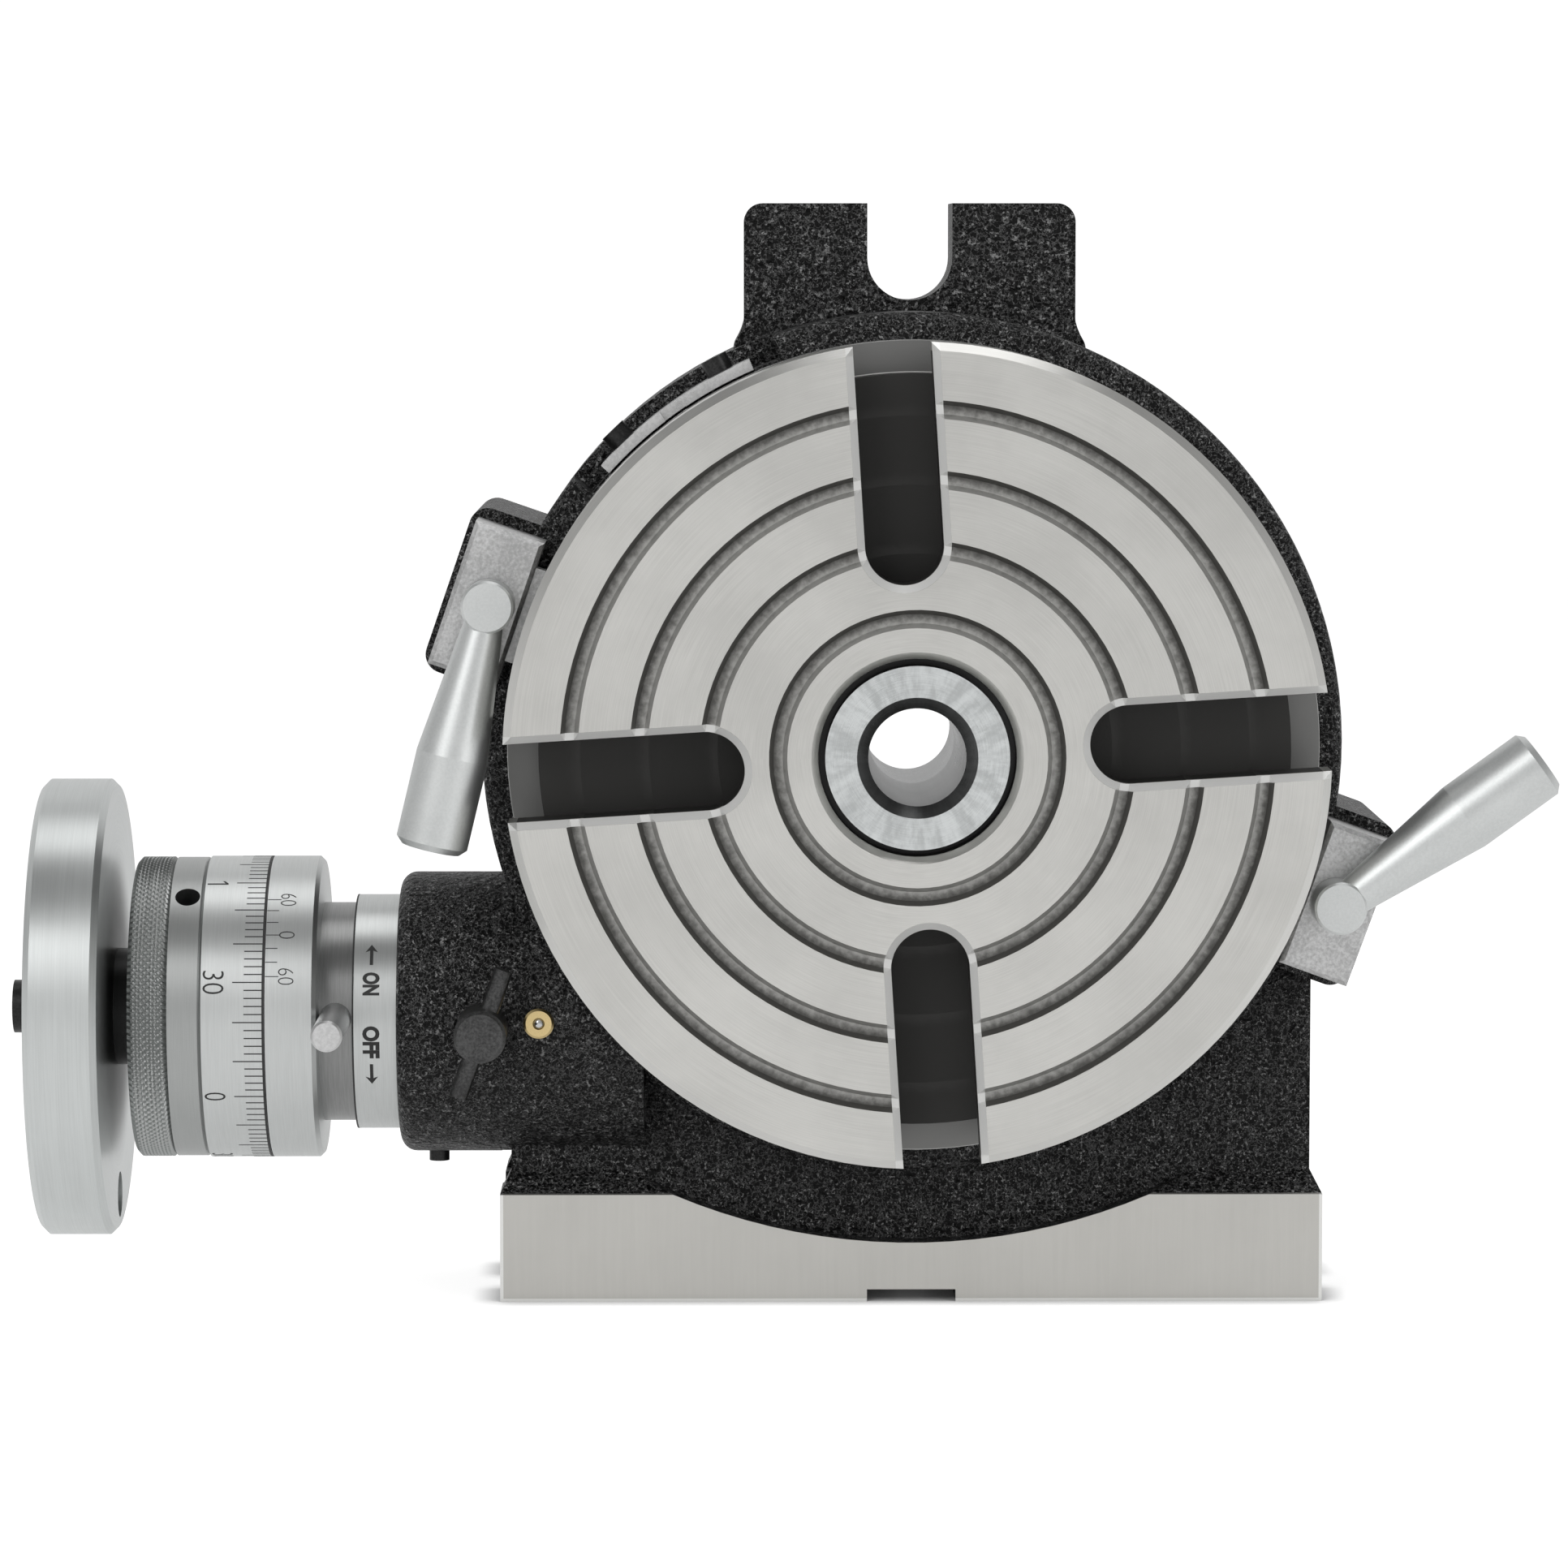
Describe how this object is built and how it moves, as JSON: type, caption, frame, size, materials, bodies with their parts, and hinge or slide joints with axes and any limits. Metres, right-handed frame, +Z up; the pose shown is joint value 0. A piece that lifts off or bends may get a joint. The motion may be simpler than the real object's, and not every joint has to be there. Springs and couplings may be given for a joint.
{
  "type": "rotary table",
  "caption": "Horizontal and vertical rotary table standing on its foot: T-slotted disc turned by a worm and handwheel, with dial, clamps and a disengaging lever.",
  "frame": {"origin": "middle of the keyway under the foot, straight below the table's axis and in the plane of the worm's axis", "axes": "+Z up from the foot, -Y out of the table's face, +X away from the handwheel along the worm"},
  "size_m": [0.2864, 0.093, 0.2051],
  "materials": {
    "black_casting": "coarse wrinkle black paint",
    "ground_steel": "ground and turned grey iron",
    "satin_steel": "satin turned steel",
    "bright_steel": "fine ground steel",
    "bronze": "machined bronze",
    "brass": "turned brass",
    "black_oxide": "black oxide",
    "clamp_steel": "grainy cast steel",
    "lever_steel": "smooth satin",
    "satin_aluminium": "satin chrome plated look",
    "wheel_aluminium": "satin turned"
  },
  "bodies": {
    "base": {"base_casting": "black_casting", "index_plate": "satin_steel", "index_plate_screws": "black_oxide", "on_off_ring": "satin_aluminium", "oil_cup": "brass", "boss_set_screw": "black_oxide", "clamp_block_left": "clamp_steel", "clamp_block_right": "clamp_steel"},
    "table": {"table_disc": "ground_steel", "graduated_ring": "satin_steel", "worm_wheel": "bronze", "worm_wheel_screws": "black_oxide", "centre_sleeve": "bright_steel", "spindle_washer": "bright_steel", "spindle_nut": "black_oxide"},
    "eccentric": {"eccentric_sleeve": "satin_steel", "engagement_lever": "satin_steel", "vernier_ring": "satin_aluminium", "thrust_washers": "bright_steel", "bearing_retainer": "black_oxide"},
    "worm": {"worm_shaft": "bright_steel", "drive_key": "bright_steel", "dial": "satin_aluminium", "dial_set_screw": "black_oxide", "knurled_ring": "satin_aluminium", "handwheel": "wheel_aluminium", "handwheel_screw": "black_oxide"},
    "lock": {"lock_screw": "black_oxide", "lock_bar": "black_oxide"},
    "left_clamp": {"clamp_screw_left": "bright_steel", "clamp_lever_left": "lever_steel"},
    "right_clamp": {"clamp_screw_right": "bright_steel", "clamp_lever_right": "lever_steel"},
    "oil_ball": {"oil_cup_ball": "bright_steel"}
  },
  "joints": [
    {"name": "table_turn", "type": "hinge", "parent": "base", "child": "table", "pos_m": [0, 0, 0.105], "axis": [0, -1, 0], "continuous": true},
    {"name": "worm_engage", "type": "hinge", "parent": "base", "child": "eccentric", "pos_m": [0, 0.00075, 0.05294], "axis": [1, 0, 0], "range_deg": [0, 90]},
    {"name": "handwheel_turn", "type": "hinge", "parent": "eccentric", "child": "worm", "pos_m": [0, 0, 0.054], "axis": [1, 0, 0], "continuous": true},
    {"name": "lock_screw_turn", "type": "hinge", "parent": "base", "child": "lock", "pos_m": [-0.0797, 0, 0.05294], "axis": [0, -1, 0], "range_deg": [-60, 120]},
    {"name": "left_clamp_turn", "type": "hinge", "parent": "base", "child": "left_clamp", "pos_m": [-0.07791, 0, 0.13183], "axis": [0, -1, 0], "range_deg": [-80, 0]},
    {"name": "right_clamp_turn", "type": "hinge", "parent": "base", "child": "right_clamp", "pos_m": [0.07743, 0, 0.07682], "axis": [0, -1, 0], "range_deg": [-50, 30]},
    {"name": "oil_ball_press", "type": "slide", "parent": "base", "child": "oil_ball", "axis": [0, 1, 0], "range_m": [0, 0.0008], "stiffness_N_per_m": 300}
  ],
  "couplings": [
    {"joint": "handwheel_turn", "follows": "table_turn", "ratio": -90}
  ]
}
